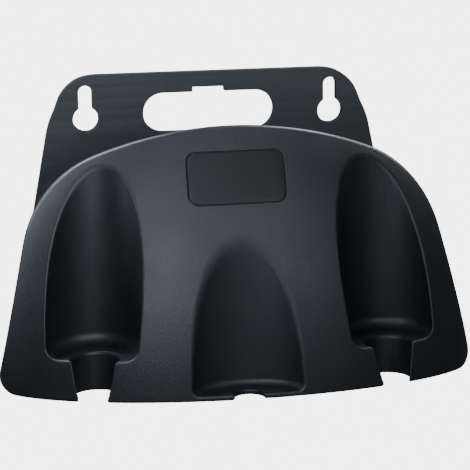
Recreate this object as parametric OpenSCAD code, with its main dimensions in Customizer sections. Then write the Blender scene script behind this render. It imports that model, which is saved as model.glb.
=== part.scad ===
// Wall mounted garden hose hanger: a wall plate, an arched hose saddle and a
// domed front shell with three pockets, held together by screws from behind.
// Millimetres. The wall is the plane y = 0, the front faces -Y and +Z is up.
// The origin lies on the wall, midway between the heads of the two keyholes.
// Every depth is a distance from the wall.

/* [Wall plate] */
// Half width of the plate at the height of the keyhole heads
plate_half_w = 107; // [104:1:112]
// Height of the top edge above the keyhole heads
plate_top = 29.2; // [28:0.2:34]
// Drop of the lower edge below the keyhole heads
plate_drop = 122; // [116:1:130]
// Outward lean of each side edge, in degrees
plate_flare = 11.2; // [8:0.1:13]
// Radius of the two top corners
plate_top_r = 34; // [26:1:36]
// Radius of the two lower corners
plate_foot_r = 14; // [8:1:20]
// Overall depth of the plate
plate_depth = 8; // [7:0.5:12]
// Thickness of the front skin
plate_skin = 3.5; // [3:0.25:4.5]
// Thickness of the rim, the collars and the walls round the holes
plate_wall = 3; // [2:0.25:4]
// Thickness of the cross ribs on the back
plate_rib = 2; // [1.5:0.25:3]
// Distance from one cross rib to the next
plate_rib_pitch = 22; // [18:1:26]
// Number of cross ribs
plate_ribs = 4; // [2:1:4]
// Height of the top cross rib
plate_rib_top = -36; // [-40:1:-34]
// How far the cross ribs stop short of the wall
plate_rib_gap = 1.5; // [1:0.25:2.5]

/* [Keyholes and hand slot] */
// Distance between the two keyholes
key_spacing = 164.5; // [158:0.5:168]
// Diameter of the round head of a keyhole
key_head_d = 17; // [14:0.5:18]
// Width of the slot of a keyhole
key_slot_w = 9; // [6:0.5:10]
// Height of the slot's top centre above the head
key_rise = 18; // [16:0.5:18]
// Length of the hand slot
hand_w = 88; // [80:1:100]
// Height of the hand slot
hand_h = 26.6; // [24:0.2:28]
// Height of the hand slot's middle line
hand_z = 2.6; // [1:0.2:4]
// Width of the hook notch over the hand slot
notch_w = 21.5; // [16:0.5:26]
// Rise of the hook notch over the hand slot
notch_h = 3.2; // [2:0.2:4]

/* [Shell outline] */
// Width across the foot of the front shell
shell_w = 300; // [294:1:310]
// Drop of the foot below the keyhole heads
shell_drop = 147; // [142:1:152]
// Height of the lip's crown above the keyhole heads
crown_z = 10.5; // [8:0.1:13]
// Radius of the crown arc
crown_r = 230; // [220:1:240]
// Radius of the two shoulder arcs
shoulder_r = 74; // [69:1:79]
// Outward lean of each side edge, in degrees
shell_flare = 12.7; // [11.2:0.1:13.2]
// Radius of the two foot corners
shell_foot_r = 12; // [8:1:16]

/* [Shell dome] */
// Depth of the shell's foremost point
shell_depth = 172; // [169:1:175]
// How far the dome swells forward of its middle plane
dome_bulge = 59.5; // [57:0.5:62]
// Half height of the ellipsoid that gives the dome its upright curve
dome_rise = 171.5; // [167:0.5:176]
// Drop of the ellipsoid's middle below the keyhole heads
dome_drop = 115; // [112:1:118]
// How far the ellipsoid is wider than the foot, each side
dome_margin = 4; // [3:0.25:5]
// How far the dome leans back for each millimetre of height
dome_lean = 0.24; // [0.22:0.01:0.26]
// Thickness of the shell
shell_skin = 3.5; // [3:0.25:4]

/* [Pockets] */
// Distance between the axes of the two side pockets
pocket_spacing = 180.5; // [177:0.5:184]
// Diameter of a side pocket
pocket_d = 59.5; // [56:0.5:62]
// How far a side pocket's axis lies behind the shell's foremost point
pocket_back = 28.5; // [25:0.5:30]
// Rise of a side pocket's floor over the foot
pocket_floor = 23; // [18:1:28]
// Radius round the floor of a side pocket
pocket_fillet = 8; // [4:0.5:9]
// Diameter of the neck under a side pocket
neck_d = 29; // [24:1:30]
// How far a neck's axis lies behind the shell's foremost point
neck_back = 22.6; // [21:0.2:24]
// Radius of the rounded rim of a neck
neck_round = 2.5; // [1:0.5:3]
// Diameter of the cylinder that hollows the middle pocket
middle_d = 75; // [70:0.5:80]
// How far the middle pocket's axis lies in front of the shell's foremost point
middle_ahead = 11.6; // [9:0.2:14]
// Radius round the floor of the middle pocket
middle_fillet = 4; // [2:0.5:5]
// Diameter of the drain notch in the middle pocket's floor
drain_d = 17.6; // [14:0.2:20]
// How far the drain notch's axis lies behind the front edge
drain_inset = 1.5; // [0.5:0.5:3]

/* [Label] */
// Width of the label
label_w = 60; // [50:1:62]
// Height of the label
label_h = 30; // [24:1:32]
// Drop of the label's middle below the keyhole heads
label_drop = 19; // [18:0.5:21]
// Corner radius of the label
label_r = 6; // [3:0.5:8]
// Depth of the recess that takes the label
label_recess = 0.8; // [0.6:0.1:1.2]
// Thickness of the label
label_t = 0.5; // [0.3:0.1:0.6]
// Play between the label and its recess
label_play = 0.3; // [0.2:0.1:0.5]

/* [Hose saddle] */
// Height of the lip that keeps the hose on the saddle
lip_h = 28; // [24:1:32]
// Thickness of the saddle's arch and web
saddle_wall = 3; // [2.5:0.25:4]
// How far the saddle's front face lies behind the shell's foremost point
saddle_back = 69; // [67:1:73]
// Drop of the saddle's feet below the keyhole heads
saddle_drop = 116; // [110:1:120]
// Length of the saddle's screw bosses
saddle_boss = 40; // [25:1:60]

// Width of the shelf that leads from the saddle to the shell's skin
shelf_w = 140; // [124:1:146]

/* [Screws] */
// Diameter of a screw
screw_d = 4; // [3:0.5:4.5]
// Length of a screw under its head
screw_len = 14; // [12:1:16]
// Diameter of a screw's head
screw_head_d = 8; // [7:0.5:9]
// Height of a screw's head
screw_head_h = 2.6; // [2:0.2:3]
// Width of a blade of the cross recess
drive_w = 1.2; // [0.8:0.1:1.5]
// Depth of the cross recess
drive_depth = 1.3; // [1:0.1:1.6]
// Diameter of a screw boss
boss_d = 10; // [8.5:0.5:12]
// Play of a screw in the piece that it passes through, all round
screw_play = 0.25; // [0.2:0.05:0.4]
// Play of a screw in the boss that it bites, all round
thread_play = 0.05; // [0.02:0.01:0.1]
// Play round a screw's head in its counterbore
head_play = 0.5; // [0.3:0.1:0.8]
// Depth of the counterbore in the plate's back
sink_depth = 4; // [3.5:0.25:4.5]
// Turn of the saddle's upper bosses from the crown's middle, in degrees
upper_boss_turn = 14; // [10:1:18]
// Drop of the saddle's lower bosses below the keyhole heads
lower_boss_drop = 98; // [90:1:102]
// Distance of the shell's bosses from the middle plane
shell_boss_x = 46; // [44:1:48]
// Drop of the shell's upper bosses below the keyhole heads
shell_boss_upper = 42; // [38:1:48]
// Drop of the shell's lower bosses below the keyhole heads
shell_boss_lower = 100; // [90:1:108]

/* [Hidden] */
$fn = 96;

moulding = [0.2, 0.22, 0.24];
// how far a cutter runs past the face that it opens
over = 1;
// larger than the whole object, for cutters and half planes
reach = 400;
// length of a corner cutter's sides in corner radii, enough to pass the sharp corner
corner_reach = 3;
// how far a boss sinks into the wall that carries it
bite = 1;
down = -90;

shell_foot = -shell_drop;
plate_foot = -plate_drop;
pocket_x = pocket_spacing / 2;
pocket_r = pocket_d / 2;
pocket_z = shell_foot + pocket_floor;
pocket_depth = shell_depth - pocket_back;
neck_depth = shell_depth - neck_back;
middle_depth = shell_depth + middle_ahead;
saddle_depth = shell_depth - saddle_back;
neck_r = neck_d / 2;
middle_r = middle_d / 2;
middle_z = shell_foot + shell_skin;
boss_r = boss_d / 2;
shank_r = screw_d / 2;
head_r = screw_head_d / 2;
pilot_depth = screw_len + over;
pad_r = head_r + head_play + plate_wall;

function flip(p) = [-p[0], p[1]];
function ray(angle) = [cos(angle), sin(angle)];

// Plate outline: centres of its right-hand corner arcs
plate_side = ray(plate_flare);
function plate_corner(r, z) = [plate_half_w - r / cos(plate_flare) - z * tan(plate_flare), z];
plate_top_c = plate_corner(plate_top_r, plate_top - plate_top_r);
plate_foot_c = plate_corner(plate_foot_r, plate_foot + plate_foot_r);

// Shell outline: centres of its crown arc and of its right-hand shoulder and foot arcs
shell_side = ray(shell_flare);
crown_c = [0, crown_z - crown_r];
side_offset = [shell_w / 2, shell_foot] * shell_side;
shoulder_gap = side_offset - shoulder_r - crown_c * shell_side;
shoulder_run = sqrt((crown_r - shoulder_r) ^ 2 - shoulder_gap ^ 2);
shoulder_c = crown_c + shoulder_gap * shell_side + shoulder_run * [-shell_side[1], shell_side[0]];
shoulder_turn = atan2(shoulder_c[1] - crown_c[1], shoulder_c[0] - crown_c[0]);
foot_c_z = shell_foot + shell_foot_r;
foot_c = [(side_offset - shell_foot_r - shell_side[1] * foot_c_z) / shell_side[0], foot_c_z];

// Point of the right-hand side line, drawn in by an inset, at a drop below the keyhole heads
function side_point(inset, drop) =
    [(side_offset - inset + shell_side[1] * drop) / shell_side[0], -drop];

// Middle of the dome: its foremost point on the foot edge lies at the shell's depth
dome_z = -dome_drop;
foot_rise = shell_foot - dome_z;
foot_swell = dome_bulge * sqrt(1 - (foot_rise / dome_rise) ^ 2);
dome_depth = shell_depth + dome_lean * foot_rise - foot_swell;

// Screw places as [x, z]
boss_inset = lip_h + saddle_wall + boss_r - bite;
upper_boss = crown_c + (crown_r - boss_inset) * [sin(upper_boss_turn), cos(upper_boss_turn)];
lower_boss = side_point(boss_inset, lower_boss_drop);
rear_places = [upper_boss, flip(upper_boss), lower_boss, flip(lower_boss)];
front_places = [for (x = [-1, 1], drop = [shell_boss_upper, shell_boss_lower]) [x * shell_boss_x, -drop]];

// A flat outline, drawn in x and z, made solid between two depths
module between(near, far) {
    translate([0, -near, 0])
        rotate([90, 0, 0])
            linear_extrude(far - near) children();
}

// The same child on both sides of the middle plane
module both_sides() {
    children();
    mirror([1, 0, 0]) children();
}

// An outline given by its right half, from the top down
module mirrored_polygon(right) {
    left = [for (i = [len(right) - 1:-1:0]) flip(right[i])];
    polygon(concat(right, left));
}

// What a rounded corner leaves off between two directions
module corner_cut(centre, r, start, end) {
    difference() {
        polygon([centre, centre + corner_reach * r * ray(start), centre + corner_reach * r * ray(end)]);
        translate(centre) circle(r);
    }
}

// Outline of the wall plate, drawn in by an inset
module plate_outline(inset) {
    top_r = plate_top_r - inset;
    foot_r = plate_foot_r - inset;
    mirrored_polygon([
        plate_top_c + [0, top_r],
        plate_top_c + top_r * plate_side,
        plate_foot_c + foot_r * plate_side,
        plate_foot_c - [0, foot_r]
    ]);
    both_sides() {
        translate(plate_top_c) circle(top_r);
        translate(plate_foot_c) circle(foot_r);
    }
}

// Bell outline, drawn in by an inset and cut off level at a drop below the keyhole heads
module bell(inset, drop) {
    difference() {
        intersection() {
            translate(crown_c) circle(crown_r - inset);
            mirrored_polygon([side_point(inset, -crown_z - over), side_point(inset, drop)]);
        }
        both_sides() corner_cut(shoulder_c, shoulder_r - inset, shell_flare, shoulder_turn);
    }
}

// Arch that carries the hose, one lip's height inside the shell's outline
module arch() {
    difference() {
        bell(lip_h, saddle_drop);
        bell(lip_h + saddle_wall, saddle_drop + over);
    }
}

// Part of the arch that the shell carries on from the saddle to its own skin
module shelf() {
    intersection() {
        arch();
        square([shelf_w, reach], center = true);
    }
}

// Outline of the front shell
module shell_outline() {
    difference() {
        bell(0, shell_drop);
        both_sides() corner_cut(foot_c, shell_foot_r, down, shell_flare);
    }
}

// Leaning ellipsoid of the dome, drawn in by an inset
module dome(inset) {
    translate([0, -dome_depth, dome_z])
        multmatrix([[1, 0, 0, 0], [0, 1, dome_lean, 0], [0, 0, 1, 0]])
            scale([shell_w / 2 + dome_margin - inset, dome_bulge - inset, dome_rise - inset])
                rotate([0, 0, 90]) sphere(1);
}

// Outline of one keyhole: a round head with a slot that rises from it
module keyhole(grow) {
    circle(key_head_d / 2 + grow);
    translate([0, key_rise]) circle(key_slot_w / 2 + grow);
    translate([-key_slot_w / 2 - grow, 0]) square([key_slot_w + 2 * grow, key_rise]);
}

// Outline of the hand slot with the hook notch in its upper edge
module hand_slot(grow) {
    end_r = hand_h / 2;
    end_x = hand_w / 2 - end_r;
    translate([-end_x, -end_r - grow]) square([2 * end_x, hand_h + 2 * grow]);
    both_sides() translate([end_x, 0]) circle(end_r + grow);
    translate([-notch_w / 2 - grow, 0]) square([notch_w + 2 * grow, end_r + notch_h + grow]);
}

// All the openings that show on the plate's face
module plate_openings(grow) {
    both_sides() translate([key_spacing / 2, 0]) keyhole(grow);
    translate([0, hand_z]) hand_slot(grow);
}

module at_places(places) {
    for (place = places) translate(place) children();
}

module wall_plate() {
    color(moulding)
        difference() {
            union() {
                between(plate_depth - plate_skin, plate_depth) plate_outline(0);
                between(0, plate_depth - plate_skin) {
                    difference() {
                        plate_outline(0);
                        plate_outline(plate_wall);
                    }
                    intersection() {
                        plate_outline(plate_wall / 2);
                        plate_openings(plate_wall);
                    }
                    at_places(rear_places) circle(pad_r);
                }
                between(plate_rib_gap, plate_depth - plate_skin)
                    intersection() {
                        plate_outline(plate_wall / 2);
                        for (i = [0:plate_ribs - 1])
                            translate([-reach / 2, plate_rib_top - i * plate_rib_pitch])
                                square([reach, plate_rib]);
                    }
            }
            between(-over, plate_depth + over) {
                plate_openings(0);
                at_places(rear_places) circle(shank_r + screw_play);
            }
            between(-over, sink_depth)
                at_places(rear_places) circle(head_r + head_play);
        }
}

module hose_saddle() {
    color(moulding)
        difference() {
            union() {
                between(plate_depth, saddle_depth) arch();
                between(saddle_depth - saddle_wall, saddle_depth) bell(lip_h, saddle_drop);
                between(plate_depth, plate_depth + saddle_boss) at_places(rear_places) circle(boss_r);
            }
            between(plate_depth - over, plate_depth + pilot_depth)
                at_places(rear_places) circle(shank_r + thread_play);
            between(saddle_depth - saddle_wall - over, saddle_depth + over)
                at_places(front_places) circle(shank_r + screw_play);
        }
}

// A side pocket with its rounded floor, and the neck under it
module side_pocket() {
    translate([pocket_x, -pocket_depth, pocket_z])
        rotate_extrude() {
            translate([0, pocket_fillet]) square([pocket_r, reach]);
            square([pocket_r - pocket_fillet, 2 * pocket_fillet]);
            intersection() {
                translate([pocket_r - pocket_fillet, pocket_fillet]) circle(pocket_fillet);
                square([pocket_r, pocket_fillet]);
            }
        }
    translate([pocket_x, -neck_depth, pocket_z])
        rotate_extrude() {
            translate([0, -reach]) square([neck_r, reach + over]);
            difference() {
                translate([0, -neck_round]) square([neck_r + neck_round, neck_round + over]);
                translate([neck_r + neck_round, -neck_round]) circle(neck_round);
            }
        }
}

module side_pocket_wall() {
    translate([pocket_x, -pocket_depth, pocket_z - shell_skin]) cylinder(h = reach, r = pocket_r + shell_skin);
    translate([pocket_x, -neck_depth, shell_foot]) cylinder(h = pocket_floor, r = neck_r + shell_skin);
}

module middle_pocket() {
    translate([0, -middle_depth, middle_z])
        rotate_extrude() {
            translate([0, middle_fillet]) square([middle_r, reach]);
            square([middle_r - middle_fillet, 2 * middle_fillet]);
            intersection() {
                translate([middle_r - middle_fillet, middle_fillet]) circle(middle_fillet);
                square([middle_r, middle_fillet]);
            }
        }
}

module middle_pocket_wall() {
    translate([0, -middle_depth, shell_foot - over]) cylinder(h = reach, r = middle_r + shell_skin);
}

module label_outline(play) {
    half_w = label_w / 2 - play;
    half_h = label_h / 2 - play;
    r = label_r - play;
    square([2 * half_w - 2 * r, 2 * half_h], center = true);
    square([2 * half_w, 2 * half_h - 2 * r], center = true);
    for (x = [-1, 1], y = [-1, 1]) translate([x * (half_w - r), y * (half_h - r)]) circle(r);
}

module label_column(play) {
    between(saddle_depth, shell_depth) translate([0, -label_drop]) label_outline(play);
}

module front_shell() {
    color(moulding)
        difference() {
            intersection() {
                dome(0);
                between(saddle_depth, reach) shell_outline();
            }
            difference() {
                dome(shell_skin);
                both_sides() side_pocket_wall();
                middle_pocket_wall();
                between(saddle_depth, shell_depth) {
                    shelf();
                    at_places(front_places) circle(boss_r);
                }
            }
            both_sides() side_pocket();
            middle_pocket();
            translate([0, drain_inset - shell_depth, shell_foot - over])
                cylinder(h = shell_skin + 2 * over, r = drain_d / 2);
            difference() {
                label_column(0);
                dome(label_recess);
            }
            between(saddle_depth - over, saddle_depth - saddle_wall + pilot_depth)
                at_places(front_places) circle(shank_r + thread_play);
        }
}

module label_panel() {
    color([0.13, 0.14, 0.15])
        difference() {
            intersection() {
                label_column(label_play);
                dome(label_recess - label_t);
            }
            dome(label_recess);
        }
}

// A pan head screw whose head bears at a given depth and whose point faces the front
module screw(seat) {
    translate([0, 0, seat])
        difference() {
            union() {
                cylinder(h = screw_len, r = shank_r);
                translate([0, 0, -screw_head_h]) cylinder(h = screw_head_h, r = head_r);
            }
            for (turn = [0, 90])
                rotate(turn)
                    translate([-shank_r, -drive_w / 2, -screw_head_h - over])
                        cube([screw_d, drive_w, drive_depth + over]);
        }
}

module rear_screws() {
    color("silver")
        rotate([90, 0, 0]) at_places(rear_places) screw(sink_depth);
}

module front_screws() {
    color("silver")
        rotate([90, 0, 0]) at_places(front_places) screw(saddle_depth - saddle_wall);
}

wall_plate();
hose_saddle();
front_shell();
label_panel();
rear_screws();
front_screws();
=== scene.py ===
"""Looks of the wall mounted hose hanger: finer shell and plate, plastics, light and camera."""

import math

import bmesh
import bpy
import numpy as np
from mathutils import Matrix, Vector


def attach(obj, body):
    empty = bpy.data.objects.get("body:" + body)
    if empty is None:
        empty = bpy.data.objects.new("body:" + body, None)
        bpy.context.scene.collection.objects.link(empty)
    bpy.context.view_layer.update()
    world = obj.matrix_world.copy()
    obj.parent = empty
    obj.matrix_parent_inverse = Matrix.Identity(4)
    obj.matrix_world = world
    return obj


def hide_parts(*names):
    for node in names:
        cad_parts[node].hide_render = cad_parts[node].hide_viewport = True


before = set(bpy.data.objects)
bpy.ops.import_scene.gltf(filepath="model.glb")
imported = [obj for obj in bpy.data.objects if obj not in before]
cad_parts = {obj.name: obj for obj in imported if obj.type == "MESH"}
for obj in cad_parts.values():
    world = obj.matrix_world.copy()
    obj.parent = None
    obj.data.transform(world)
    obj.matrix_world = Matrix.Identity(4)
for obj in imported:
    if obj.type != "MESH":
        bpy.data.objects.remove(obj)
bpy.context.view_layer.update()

# Lengths are in millimetres, unless a comment says otherwise. Blender works in metres.
MM = 0.001
# Keeps divisions away from zero.
TINY = 1e-6

# Front shell: sizes that are the same as in the part's source
SHELL_W, SHELL_DROP, SHELL_DEPTH = 300.0, 147.0, 172.0
SHELL_FLARE = math.radians(12.7)
CROWN_Z, CROWN_R, SHOULDER_R = 10.5, 230.0, 74.0
DOME_BULGE, DOME_RISE, DOME_DROP = 59.5, 171.5, 115.0
DOME_MARGIN, DOME_LEAN = 4.0, 0.24
SKIN = 3.5
POCKET_DEPTH, MIDDLE_FILLET = 143.5, 4.0
DRAIN_R, DRAIN_INSET = 8.8, 1.5
LABEL_W, LABEL_H, LABEL_R = 60.0, 30.0, 6.0
LABEL_DROP, LABEL_RECESS = 19.0, 0.8
LIP_H, SHELF_W = 28.0, 140.0
SADDLE_WALL, SADDLE_DEPTH = 3.0, 103.0
BOSS_R, BOSS_X, BOSS_DROPS = 5.0, 46.0, (42.0, 100.0)
PILOT_R, PILOT_END = 2.05, 115.0

# Front shell: forms that the finished moulding has and the source's solid lacks
FOOT_R = 9.0
POCKET_X, POCKET_R = 89.9, 29.3
POCKET_FLOOR, POCKET_FILLET = 24.6, 7.0
# Side pockets' lean inwards and forwards, per millimetre of height
POCKET_TILT, POCKET_LEAN = 0.014, 0.012
NECK_R, NECK_DEPTH, NECK_ROUND = 14.6, 148.2, 2.2
NECK_TAPER = 0.04
# The middle pocket's section is a leaning oval, flatter at its back than the source's circle.
MIDDLE_HALF_W, MIDDLE_REACH, MIDDLE_DEPTH = 34.2, 20.6, 172.8
MIDDLE_LEAN = 0.062
# Edge radii
LIP_ROUND, INNER_ROUND = 1.4, 1.0
OUTER_EDGE_ROUND, INNER_EDGE_ROUND = 1.4, 1.0
MIDDLE_EDGE_ROUND, LABEL_EDGE_ROUND = 2.0, 0.9
# A faint flow line down the middle of the dome
SEAM_H, SEAM_W = 0.1, 1.8

# Front shell: places worked out from the sizes above
FOOT_RISE = DOME_DROP - SHELL_DROP
FOOT_BULGE = DOME_BULGE * math.sqrt(1 - (FOOT_RISE / DOME_RISE) ** 2)
DOME_DEPTH = SHELL_DEPTH + DOME_LEAN * FOOT_RISE - FOOT_BULGE
POCKET_Z = POCKET_FLOOR - SHELL_DROP
MIDDLE_Z = SKIN - SHELL_DROP

# Grid that the shell's mesh is taken from, finer at the label's edges and at the flow line
PITCH, FINE_PITCH = 1.0, 0.45
FINE_REACH = 2.0
GRID_HALF_W = 149.0
GRID_Y, FINE_Y = (-174.0, -100.0), (-142.0, -116.0)
GRID_Z = (-149.5, 13.5)
GRADIENT_STEP = 0.05
# Steps that draw the mesh onto the surface, and how strongly the first of them even it out
SETTLE_STEPS, RELAX_STEPS, RELAX = 6, 3, 0.5
LEAST_SQUARED_SLOPE = 0.2

# Wall plate: outline of its upper part, as in the part's source
PLATE_HALF_W, PLATE_TOP, PLATE_TOP_R = 107.0, 29.2, 34.0
PLATE_FLARE = math.radians(11.2)
# The finished rim is drawn in beside the keyhole heads, and fuller where the top edge turns down.
WAIST, WAIST_Z, WAIST_H = 2.2, 8.0, 9.0
SWELL, SWELL_X, SWELL_W = 0.7, 88.0, 9.0
# Points within the first distance of the outline move fully, and those past the second stay.
RIM_W, RIM_FADE = 2.0, 4.9
# Level cuts that give the plate's straight sides points to move
CUTS, CUT_LOW, CUT_STEP = 12, -14.0, 2.0

# The solids' faces share no points, so points this close are welded before edges are bevelled.
WELD = 0.001
# Widest bevel of each piece's edges. A piece's shortest edges hold it to less.
PLATE_BEVEL, SADDLE_BEVEL, LABEL_BEVEL = 0.8, 0.8, 0.6
BEVEL_SEGMENTS, BEVEL_ANGLE = 3, math.radians(35)

# Plastics: colours are dark and light ends of the surface's marks, scales are waves per metre
MOULDING_COLOURS = ((0.0086, 0.0112, 0.0137), (0.0102, 0.0131, 0.0161))
# The plate's colours are painted lighter than the moulding's. This painted fill light stands in for the
# light that the shell keeps off the plate.
PLATE_COLOURS_PAINTED_FILL = ((0.0125, 0.0147, 0.0172), (0.0225, 0.026, 0.030))
LABEL_COLOURS = ((0.005, 0.006, 0.007), (0.0065, 0.0075, 0.0085))
MOULDING_ROUGH, PLATE_ROUGH, LABEL_ROUGH = 0.44, 0.57, 0.48
PLASTIC_IOR, LABEL_IOR = 1.53, 1.42
PLASTIC_TINT = (0.82, 0.89, 1.0)
FLOW_SCALE, FLOW_DETAIL = 14, 3
GLOSS_SCALE, GLOSS_DETAIL, GLOSS_SPREAD = 60, 4, 0.04
SPARK_SCALE, SPARK_DETAIL, SPARK_ROUGH, SPARK_DEPTH = 900, 3, 0.7, 0.55
SPARK_GRAIN, LABEL_GRAIN = 0.3, 0.05
# Streaks on the plate along x, y and z
STREAK_SCALE, STREAK_DETAIL, STREAK_ROUGH, STREAK_GLOSS = (5, 5, 190), 2, 0.6, 0.05

# Screws' zinc plating
STEEL_COLOURS = ((0.5, 0.5, 0.48), (0.7, 0.7, 0.69))
STEEL_SCALE, STEEL_DETAIL = 300, 3
SCUFF_SCALE, SCUFF_DETAIL, SCUFF_ROUGH = 800, 2, (0.28, 0.42)

# Camera: the place, and the turn in radians, that lay the object on the photograph's view of it
CAMERA_PLACE = Vector((-156.1, -1198.3, 193.3))
CAMERA_YAW, CAMERA_PITCH, CAMERA_ROLL = 0.14376, 0.22594, -0.01614
CAMERA_LENS, CAMERA_SENSOR = 139.09, 36.0
CAMERA_NEAR, CAMERA_FAR = 50.0, 60000.0

# Floor that sweeps up all round, and a dim even sky
FLOOR_Z, FLOOR_SWEEP = -1200.0, 12000.0
FLOOR_SEGMENTS, FLOOR_RINGS = 96, 48
FLOOR_COLOURS = ((0.93, 0.93, 0.93), (0.96, 0.96, 0.96))
FLOOR_SCALE, FLOOR_DETAIL, FLOOR_ROUGH, FLOOR_GLOW = 3, 2, 0.9, 5.0
WHITE = (1, 1, 1, 1)
SKY = 0.1

# Softboxes: azimuth from the front to the right and elevation in degrees, distance from the aim,
# and the light that reaches the aim in watts per square metre
AIM = Vector((0, -120, -70))
SOFTBOX_ANGLE = math.radians(22)
SOFTBOXES = {
    "key": (-23, 15, 260, 1.01),
    "key_upper": (-28, 36, 260, 0.52),
    "key_right": (16, 24, 420, 0.71),
    "front_top": (0, 60, 260, 0.25),
    "left": (-86, 12, 420, 0.28),
    "left_upper": (-98, 24, 260, 0.68),
    "top_right": (120, 60, 260, 2.23),
    "top_left": (-120, 60, 330, 2.22),
    "low": (0, -24, 1500, 0.1),
    "rim_left": (-106, 46, 420, 2.3),
    "rim_right": (114, 38, 420, 1.2),
}


# Distance fields: negative inside a form, in millimetres

def bell_points():
    """The side line's normal and offset, and the centres of the crown, shoulder and foot arcs."""
    side = np.array([math.cos(SHELL_FLARE), math.sin(SHELL_FLARE)])
    along = np.array([-side[1], side[0]])
    offset = side @ np.array([SHELL_W / 2, -SHELL_DROP])
    crown = np.array([0.0, CROWN_Z - CROWN_R])
    gap = offset - SHOULDER_R - crown @ side
    shoulder = crown + gap * side + math.sqrt((CROWN_R - SHOULDER_R) ** 2 - gap**2) * along
    foot_z = FOOT_R - SHELL_DROP
    foot = np.array([(offset - FOOT_R - side[1] * foot_z) / side[0], foot_z])
    return side, offset, crown, shoulder, foot


SIDE, SIDE_OFFSET, CROWN_C, SHOULDER_C, FOOT_C = bell_points()
SHOULDER_TURN = math.atan2(*(SHOULDER_C - CROWN_C)[::-1])


def round_max(a, b, r):
    """Intersection of two distance fields with its edge rounded to radius r."""
    return np.minimum(np.maximum(a, b), -r) + np.hypot(np.maximum(a + r, 0), np.maximum(b + r, 0))


def round_min(a, b, r):
    """Union of two distance fields with its inner corner filled to radius r."""
    return -round_max(-a, -b, r)


def ramp(value, low, high):
    """A smooth step from 0 at low to 1 at high."""
    t = np.clip((value - low) / (high - low), 0, 1)
    return t * t * (3 - 2 * t)


def mix(a, b, share):
    return a + (b - a) * share


def arc_or(others, x, z, centre, radius, start, end):
    """Distance to an arc within its span of turn, and another field elsewhere."""
    turn = np.arctan2(z - centre[1], x - centre[0])
    arc = np.hypot(x - centre[0], z - centre[1]) - radius
    return np.where((turn > start) & (turn < end), arc, others)


def bell_field(x, z):
    """Distance to the shell's outline, seen from the front."""
    ax = np.abs(x)
    crown = np.hypot(ax, z - CROWN_C[1]) - CROWN_R
    side = ax * SIDE[0] + z * SIDE[1] - SIDE_OFFSET
    top = arc_or(np.maximum(crown, side), ax, z, SHOULDER_C, SHOULDER_R, SHELL_FLARE, SHOULDER_TURN)
    level = np.maximum(top, -SHELL_DROP - z)
    return arc_or(level, ax, z, FOOT_C, FOOT_R, -math.pi / 2, SHELL_FLARE)


def dome_field(x, y, z, inset):
    """Distance to the leaning ellipsoid, drawn in by an inset."""
    a, b, c = SHELL_W / 2 + DOME_MARGIN - inset, DOME_BULGE - inset, DOME_RISE - inset
    h = z + DOME_DROP
    u, v, w = x / a, (y + DOME_DEPTH - DOME_LEAN * h) / b, h / c
    k = np.sqrt(u * u + v * v + w * w) + TINY
    slope = np.sqrt((u / a) ** 2 + (v / b) ** 2 + (w / c - DOME_LEAN * v / b) ** 2) / k
    return (k - 1) / np.maximum(slope, TINY)


def box_field(x, z, half_w, half_h, r):
    """Distance to a rectangle with round corners."""
    qx, qz = np.abs(x) - half_w + r, np.abs(z) - half_h + r
    return np.hypot(np.maximum(qx, 0), np.maximum(qz, 0)) + np.minimum(np.maximum(qx, qz), 0) - r


def neck_wall_field(x, y, z):
    """Distance to the necks' walls, which draw in a little towards the foot."""
    wall = np.hypot(np.abs(x) - POCKET_X, y + NECK_DEPTH)
    return wall - NECK_R - NECK_TAPER * (z - POCKET_Z)


def pocket_wall_field(x, y, z):
    """Distance to the side pockets' walls, which lean a little inwards and forwards."""
    rise = z - POCKET_Z
    across = np.abs(x) - POCKET_X + POCKET_TILT * rise
    ahead = y + POCKET_DEPTH + POCKET_LEAN * rise
    return np.hypot(across, ahead) - POCKET_R


def side_pocket_field(x, y, z):
    """The two side pockets with their rounded floors, and the necks under them."""
    pocket = round_max(pocket_wall_field(x, y, z), POCKET_Z - z, POCKET_FILLET)
    neck = np.maximum(neck_wall_field(x, y, z), z - POCKET_Z - NECK_ROUND)
    return round_min(pocket, neck, NECK_ROUND)


def middle_wall_field(x, y, z, skin):
    """Distance to the middle pocket's leaning oval tube, grown by a skin."""
    a, b = MIDDLE_HALF_W + skin, MIDDLE_REACH + skin
    u, v = x / a, (y + MIDDLE_DEPTH - MIDDLE_LEAN * (z - MIDDLE_Z)) / b
    k = np.hypot(u, v) + TINY
    return (k - 1) * k / np.hypot(u / a, v / b)


def middle_pocket_field(x, y, z):
    """The middle pocket with its rounded floor, and the drain at the floor's front."""
    pocket = round_max(middle_wall_field(x, y, z, 0), MIDDLE_Z - z, MIDDLE_FILLET)
    drain = np.hypot(x, y + SHELL_DEPTH - DRAIN_INSET) - DRAIN_R
    return round_min(pocket, np.maximum(drain, z - MIDDLE_Z - SKIN), INNER_ROUND)


def label_recess_field(x, y, z):
    label = box_field(x, z + LABEL_DROP, LABEL_W / 2, LABEL_H / 2, LABEL_R)
    return np.maximum(label, -dome_field(x, y, z, LABEL_RECESS))


def kept_field(x, y, z, bell):
    """What stands inside the hollow shell: pocket walls, shelf and bosses."""
    ax = np.abs(x)
    kept = np.maximum(pocket_wall_field(x, y, z) - SKIN, POCKET_Z - SKIN - z)
    neck = neck_wall_field(x, y, z) - SKIN
    kept = round_min(kept, np.maximum(neck, z - POCKET_Z), INNER_ROUND)
    kept = np.minimum(kept, middle_wall_field(x, y, z, SKIN))
    shelf = np.maximum(np.maximum(bell + LIP_H, -bell - LIP_H - SADDLE_WALL), ax - SHELF_W / 2)
    kept = round_min(kept, shelf, INNER_ROUND)
    for drop in BOSS_DROPS:
        post = np.hypot(ax - BOSS_X, z + drop)
        boss = np.maximum(post - BOSS_R, -np.maximum(post - PILOT_R, -y - PILOT_END))
        kept = round_min(kept, boss, INNER_ROUND)
    return kept


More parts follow.
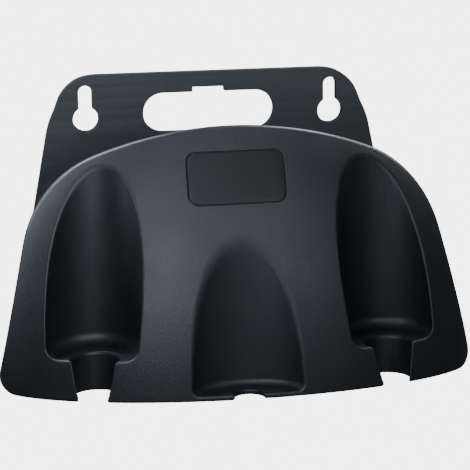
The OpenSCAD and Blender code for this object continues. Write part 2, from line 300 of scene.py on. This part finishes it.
def pocket_edge(x, z):
    """Edge radius round the side pockets, which is tighter on their inner sides above the floor."""
    outward = ramp(np.abs(x), POCKET_X - POCKET_R / 2, POCKET_X + POCKET_R / 2)
    upward = ramp(z, POCKET_Z - SKIN, POCKET_Z + POCKET_R)
    return mix(OUTER_EDGE_ROUND, mix(INNER_EDGE_ROUND, OUTER_EDGE_ROUND, outward), upward)


def middle_edge(z):
    """Edge radius round the middle pocket, which grows upwards from the floor."""
    return mix(OUTER_EDGE_ROUND, MIDDLE_EDGE_ROUND, ramp(z, MIDDLE_Z, MIDDLE_Z + MIDDLE_HALF_W))


def shell_field(x, y, z):
    """Distance to the whole front shell, with its edges rounded."""
    bell = bell_field(x, z)
    dome = dome_field(x, y, z, 0) - SEAM_H * np.exp(-((x / SEAM_W) ** 2))
    body = round_max(dome, bell, LIP_ROUND)
    body = round_max(body, -side_pocket_field(x, y, z), pocket_edge(x, z))
    body = round_max(body, -middle_pocket_field(x, y, z), middle_edge(z))
    body = round_max(body, -label_recess_field(x, y, z), LABEL_EDGE_ROUND)
    hollow = round_max(dome_field(x, y, z, SKIN), -kept_field(x, y, z, bell), INNER_ROUND)
    return np.maximum(round_max(body, -hollow, LIP_ROUND), y + SADDLE_DEPTH)


def plate_field(x, y, z):
    """Distance to the plate's outline above its foot, which is the same at every depth y."""
    ax = np.abs(x)
    side = (ax - PLATE_HALF_W) * math.cos(PLATE_FLARE) + z * math.sin(PLATE_FLARE)
    low = PLATE_TOP - PLATE_TOP_R
    centre = (PLATE_HALF_W - PLATE_TOP_R / math.cos(PLATE_FLARE) - low * math.tan(PLATE_FLARE), low)
    straight = np.maximum(side, z - PLATE_TOP)
    return arc_or(straight, ax, z, centre, PLATE_TOP_R, PLATE_FLARE, math.pi / 2)


# Meshing: quads over the zero surface of a distance field on a grid

CORNERS = [(i, j, k) for i in (0, 1) for j in (0, 1) for k in (0, 1)]
CELL_EDGES = [
    (a, b) for a in CORNERS for b in CORNERS
    if a < b and np.abs(np.subtract(a, b)).sum() == 1
]


def gradient(field, points):
    """Slope of a field at some points."""
    out = np.empty_like(points)
    for i, step in enumerate(GRADIENT_STEP * np.eye(3)):
        out[:, i] = (field(*(points + step).T) - field(*(points - step).T)) / (2 * GRADIENT_STEP)
    return out


def unit(vectors):
    return vectors / np.maximum(np.linalg.norm(vectors, axis=1), TINY)[:, None]


def grid_lines(low, high, fine):
    """Grid lines along one axis, closer together inside the fine bands."""
    lines = [low]
    while lines[-1] < high:
        close = any(a < lines[-1] < b for a, b in fine)
        lines.append(lines[-1] + (FINE_PITCH if close else PITCH))
    return np.array(lines)


def crossed_cells(inside):
    """The grid cells that the surface passes through, and each cell's number among them."""
    count = [n - 1 for n in inside.shape]
    total = np.zeros(count, np.int8)
    for i, j, k in CORNERS:
        total += inside[i : i + count[0], j : j + count[1], k : k + count[2]]
    cells = np.argwhere((total > 0) & (total < len(CORNERS)))
    index = -np.ones(count, np.int64)
    index[tuple(cells.T)] = np.arange(len(cells))
    return cells, index


def crossing_means(values, cells):
    """Mean of the places where the surface crosses a cell's edges, as shares of the cell."""
    places, hits = np.zeros((len(cells), 3)), np.zeros(len(cells))
    for a, b in CELL_EDGES:
        start, end = values[tuple((cells + a).T)], values[tuple((cells + b).T)]
        cross = (start < 0) != (end < 0)
        t = np.where(cross, start / np.where(cross, start - end, 1), 0)
        places += (np.array(a) + t[:, None] * np.subtract(b, a)) * cross[:, None]
        hits += cross
    return places / hits[:, None]


def quads_across(inside, index, axis):
    """A quad round each grid edge along an axis that crosses the surface, facing outwards."""
    u, v = (axis + 1) % 3, (axis + 2) % 3
    edges = np.argwhere(np.diff(inside, axis=axis))
    edges = edges[(edges[:, u] > 0) & (edges[:, v] > 0)]
    edges = edges[(edges[:, u] < index.shape[u]) & (edges[:, v] < index.shape[v])]
    ring = []
    for du, dv in ((-1, -1), (0, -1), (0, 0), (-1, 0)):
        cell = edges.copy()
        cell[:, u] += du
        cell[:, v] += dv
        ring.append(index[tuple(cell.T)])
    quads = np.stack(ring, 1)
    entering = ~inside[tuple(edges.T)]
    quads[entering] = quads[entering][:, ::-1]
    return quads


def neighbour_mean(points, quads):
    """Mean place of the points that share an edge with each point."""
    total, count = np.zeros_like(points), np.zeros(len(points))
    for a, b in ((0, 1), (1, 2), (2, 3), (3, 0)):
        for one, other in ((quads[:, a], quads[:, b]), (quads[:, b], quads[:, a])):
            for i in range(3):
                total[:, i] += np.bincount(one, points[other, i], len(points))
            count += np.bincount(one, minlength=len(points))
    return total / count[:, None]


def along_surface(step, slope):
    """The part of a step that doesn't leave the surface."""
    out = unit(slope)
    return step - (step * out).sum(1)[:, None] * out


def settle(field, points, quads, reach):
    """Draws points onto the surface, at most a reach at a time, and evens them out along it."""
    for turn in range(SETTLE_STEPS):
        slope = gradient(field, points)
        move = field(*points.T) / np.maximum((slope**2).sum(1), LEAST_SQUARED_SLOPE)
        points = points - np.clip(move, -reach, reach)[:, None] * slope
        if turn < RELAX_STEPS:
            points = points + RELAX * along_surface(neighbour_mean(points, quads) - points, slope)
    return points


def surface(field, axes):
    """Points, quads and normals over the zero surface of a distance field."""
    values = field(*np.meshgrid(*axes, indexing="ij", sparse=True))
    inside = values < 0
    cells, index = crossed_cells(inside)
    low = np.stack([a[i] for a, i in zip(axes, cells.T)], 1)
    size = np.stack([np.diff(a)[i] for a, i in zip(axes, cells.T)], 1)
    points = low + size * crossing_means(values, cells)
    quads = np.concatenate([quads_across(inside, index, axis) for axis in range(3)])
    points = settle(field, points, quads, size.min(1) / 2)
    return points, quads, unit(gradient(field, points))


# Pieces

def add_object(name, data):
    thing = bpy.data.objects.new(name, data)
    bpy.context.scene.collection.objects.link(thing)
    return thing


def shell_grid():
    """Grid lines round the shell along x, y and z."""
    label_side = (LABEL_W / 2 - FINE_REACH, LABEL_W / 2 + FINE_REACH)
    right = grid_lines(FINE_PITCH / 2, GRID_HALF_W, [(0, FINE_REACH), label_side])
    label_ends = [end - LABEL_DROP for end in (-LABEL_H / 2, LABEL_H / 2)]
    fine_z = [(end - FINE_REACH, end + FINE_REACH) for end in label_ends]
    return np.concatenate([-right[::-1], right]), grid_lines(*GRID_Y, [FINE_Y]), grid_lines(*GRID_Z, fine_z)


def shell_piece():
    """The front shell as a fine mesh, shaded by the field's own normals."""
    points, quads, normals = surface(shell_field, shell_grid())
    mesh = bpy.data.meshes.new("front_shell_fine")
    mesh.from_pydata((points * MM).tolist(), [], quads.tolist())
    mesh.polygons.foreach_set("use_smooth", np.ones(len(quads), bool))
    mesh.normals_split_custom_set_from_vertices(normals.tolist())
    return add_object("front_shell_fine", mesh)


def finished_rim(points):
    """Moves the plate's rim to the finished outline. Keyholes and hand slot stay where they are."""
    x, z = points[:, 0], points[:, 2]
    amount = SWELL * np.exp(-(((np.abs(x) - SWELL_X) / SWELL_W) ** 2)) * ramp(z, WAIST_Z, PLATE_TOP)
    amount -= WAIST * np.exp(-(((z - WAIST_Z) / WAIST_H) ** 2))
    amount *= ramp(plate_field(*points.T), -RIM_FADE, -RIM_W)
    return points + amount[:, None] * gradient(plate_field, points)


def cut_level(mesh):
    """Adds level rows of points across the plate."""
    form = bmesh.new()
    form.from_mesh(mesh)
    for i in range(CUTS):
        place = (0, 0, (CUT_LOW + i * CUT_STEP) * MM)
        everything = form.verts[:] + form.edges[:] + form.faces[:]
        bmesh.ops.bisect_plane(form, geom=everything, plane_co=place, plane_no=(0, 0, 1))
    form.to_mesh(mesh)
    form.free()


def plate_piece():
    """The wall plate as a copy of the solid's mesh with its rim moved."""
    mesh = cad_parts["wall_plate"].data.copy()
    cut_level(mesh)
    points = np.empty(len(mesh.vertices) * 3)
    mesh.vertices.foreach_get("co", points)
    moved = finished_rim(points.reshape(-1, 3) / MM) * MM
    mesh.vertices.foreach_set("co", moved.ravel())
    mesh.update()
    return add_object("wall_plate_fine", mesh)


def dress(piece, look):
    piece.data.materials.clear()
    piece.data.materials.append(look)


def stand_in(piece, node, look):
    """Dresses a finer piece and lets it stand for a node of the frame."""
    dress(piece, look)
    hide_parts(node)
    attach(piece, "root")


def bevel_edges(piece, width):
    weld = piece.modifiers.new("weld", "WELD")
    weld.merge_threshold = WELD * MM
    bevel = piece.modifiers.new("edges", "BEVEL")
    bevel.width = width * MM
    bevel.segments = BEVEL_SEGMENTS
    bevel.limit_method = "ANGLE"
    bevel.angle_limit = BEVEL_ANGLE
    bevel.harden_normals = True


# Materials

class Nodes:
    """A short way to write a material's nodes."""

    # Places of the factor, the two colours and the result on a Mix node that mixes colours
    MIX_FACTOR, MIX_A, MIX_B, MIX_RESULT = 0, 6, 7, 2
    # Range that most of a noise falls in
    NOISE_LOW, NOISE_HIGH = 0.3, 0.7

    def __init__(self, name):
        self.material = bpy.data.materials.new(name)
        self.material.use_nodes = True
        self.tree = self.material.node_tree
        self.shader = self.tree.nodes["Principled BSDF"]

    def put(self, socket, value):
        """Links a socket to another, or sets its value."""
        if isinstance(value, bpy.types.NodeSocket):
            self.tree.links.new(value, socket)
        else:
            socket.default_value = value

    def shade(self, key, value):
        """Sets or links one input of the shader."""
        self.put(self.shader.inputs[key], value)

    def add(self, kind, sockets=(), **settings):
        node = self.tree.nodes.new("ShaderNode" + kind)
        for key, value in settings.items():
            setattr(node, key, value)
        for key, value in dict(sockets).items():
            self.put(node.inputs[key], value)
        return node

    def place(self):
        """The point in the object's own frame, in metres."""
        return self.add("TexCoord").outputs["Object"]

    def noise(self, scale, detail, rough=0.5, where=None):
        if where is None:
            where = self.place()
        sockets = {"Vector": where, "Scale": scale, "Detail": detail, "Roughness": rough}
        return self.add("TexNoise", sockets).outputs["Fac"]

    def blend(self, factor, colours):
        """A colour between two, by a factor."""
        node = self.add("Mix", data_type="RGBA")
        self.put(node.inputs[self.MIX_FACTOR], factor)
        self.put(node.inputs[self.MIX_A], (*colours[0], 1))
        self.put(node.inputs[self.MIX_B], (*colours[1], 1))
        return node.outputs[self.MIX_RESULT]

    def span(self, noise, low, high):
        """A noise spread from low to high."""
        sockets = {"Value": noise, "From Min": self.NOISE_LOW, "From Max": self.NOISE_HIGH}
        return self.add("MapRange", {**sockets, "To Min": low, "To Max": high}).outputs["Result"]


def moulded(m, marks, colours, rough, grain=SPARK_GRAIN, ior=PLASTIC_IOR):
    """Moulded plastic with a fine spark grain, whose colour follows its marks."""
    m.shade("Base Color", m.blend(m.span(marks, 0, 1), colours))
    m.shade("Roughness", rough)
    m.shade("IOR", ior)
    m.shade("Specular Tint", (*PLASTIC_TINT, 1))
    spark = m.noise(SPARK_SCALE, SPARK_DETAIL, SPARK_ROUGH)
    bump = m.add("Bump", {"Height": spark, "Strength": grain, "Distance": SPARK_DEPTH * MM})
    m.shade("Normal", bump.outputs["Normal"])
    return m.material


def plain_plastic(name, colours, rough, **finish):
    """Matt plastic with slow flow marks and a little variation in gloss."""
    m = Nodes(name)
    gloss = m.span(m.noise(GLOSS_SCALE, GLOSS_DETAIL), rough - GLOSS_SPREAD, rough + GLOSS_SPREAD)
    return moulded(m, m.noise(FLOW_SCALE, FLOW_DETAIL), colours, gloss, **finish)


def streaked_plastic(name, colours, rough):
    """The plate's plastic, with faint level streaks from the mould. Its colours are painted lighter than
    the moulding's as painted fill light.
    """
    m = Nodes(name)
    level = m.add("Mapping", {"Vector": m.place(), "Scale": STREAK_SCALE}).outputs["Vector"]
    streak = m.noise(1, STREAK_DETAIL, STREAK_ROUGH, level)
    return moulded(m, streak, colours, m.span(streak, rough + STREAK_GLOSS, rough - STREAK_GLOSS))


def plated_steel(name):
    m = Nodes(name)
    m.shade("Metallic", 1.0)
    m.shade("Base Color", m.blend(m.noise(STEEL_SCALE, STEEL_DETAIL), STEEL_COLOURS))
    m.shade("Roughness", m.span(m.noise(SCUFF_SCALE, SCUFF_DETAIL), *SCUFF_ROUGH))
    return m.material


def pale_floor(name):
    m = Nodes(name)
    m.shade("Base Color", m.blend(m.noise(FLOOR_SCALE, FLOOR_DETAIL), FLOOR_COLOURS))
    m.shade("Roughness", FLOOR_ROUGH)
    m.shade("Emission Color", WHITE)
    m.shade("Emission Strength", FLOOR_GLOW)
    return m.material


# Camera, stage and light

def camera_turn():
    """The camera's turn, from its yaw to the right, pitch downwards and roll."""
    ahead = Vector((
        math.sin(CAMERA_YAW) * math.cos(CAMERA_PITCH),
        math.cos(CAMERA_YAW) * math.cos(CAMERA_PITCH),
        -math.sin(CAMERA_PITCH),
    ))
    level = Vector((math.cos(CAMERA_YAW), -math.sin(CAMERA_YAW), 0))
    above = level.cross(ahead)
    right = math.cos(CAMERA_ROLL) * level + math.sin(CAMERA_ROLL) * above
    up = math.cos(CAMERA_ROLL) * above - math.sin(CAMERA_ROLL) * level
    return Matrix((right, up, -ahead)).transposed().to_4x4()


def add_camera():
    data = bpy.data.cameras.new("camera")
    data.lens = CAMERA_LENS
    data.sensor_width = CAMERA_SENSOR
    data.clip_start = CAMERA_NEAR * MM
    data.clip_end = CAMERA_FAR * MM
    camera = add_object("camera", data)
    camera.matrix_world = Matrix.Translation(CAMERA_PLACE * MM) @ camera_turn()
    bpy.context.scene.camera = camera


def add_floor():
    """A pale floor that sweeps up all round and is seen by the camera only."""
    middle = (0, 0, (FLOOR_Z + FLOOR_SWEEP) * MM)
    bpy.ops.mesh.primitive_uv_sphere_add(
        segments=FLOOR_SEGMENTS, ring_count=FLOOR_RINGS, radius=FLOOR_SWEEP * MM, location=middle
    )
    floor = bpy.context.object
    floor.name = "floor"
    floor.visible_diffuse = False
    floor.visible_glossy = False
    floor.visible_shadow = False
    dress(floor, pale_floor("floor"))


def add_sky():
    world = bpy.data.worlds.new("studio")
    world.use_nodes = True
    sky = world.node_tree.nodes["Background"]
    sky.inputs["Color"].default_value = WHITE
    sky.inputs["Strength"].default_value = SKY
    bpy.context.scene.world = world


def add_softbox(name, azimuth, elevation, distance, strength):
    """A round softbox that faces the aim."""
    data = bpy.data.lights.new(name, "AREA")
    data.shape = "DISK"
    data.size = 2 * distance * MM * math.tan(SOFTBOX_ANGLE / 2)
    data.energy = strength * math.pi * (distance * MM) ** 2
    turn, lift = math.radians(azimuth), math.radians(elevation)
    towards = Vector((math.sin(turn) * math.cos(lift), -math.cos(turn) * math.cos(lift), math.sin(lift)))
    lamp = add_object(name, data)
    lamp.location = (AIM + distance * towards) * MM
    lamp.rotation_euler = towards.to_track_quat("Z", "Y").to_euler()
    lamp.visible_camera = False


# The object

moulding = plain_plastic("moulding", MOULDING_COLOURS, MOULDING_ROUGH)
# The plate's material is painted lighter than the moulding's, as painted fill light where the shell shades
# it.
plate_look_painted_fill = streaked_plastic("plate", PLATE_COLOURS_PAINTED_FILL, PLATE_ROUGH)
label_look = plain_plastic("label", LABEL_COLOURS, LABEL_ROUGH, grain=LABEL_GRAIN, ior=LABEL_IOR)
steel = plated_steel("screws")

plate = plate_piece()
stand_in(plate, "wall_plate", plate_look_painted_fill)
bevel_edges(plate, PLATE_BEVEL)

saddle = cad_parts["hose_saddle"]
dress(saddle, moulding)
bevel_edges(saddle, SADDLE_BEVEL)

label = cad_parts["label_panel"]
dress(label, label_look)
bevel_edges(label, LABEL_BEVEL)

for node in ("rear_screws", "front_screws"):
    dress(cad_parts[node], steel)

stand_in(shell_piece(), "front_shell", moulding)

# The studio

add_camera()
add_floor()
add_sky()
for name, placing in SOFTBOXES.items():
    add_softbox(name, *placing)
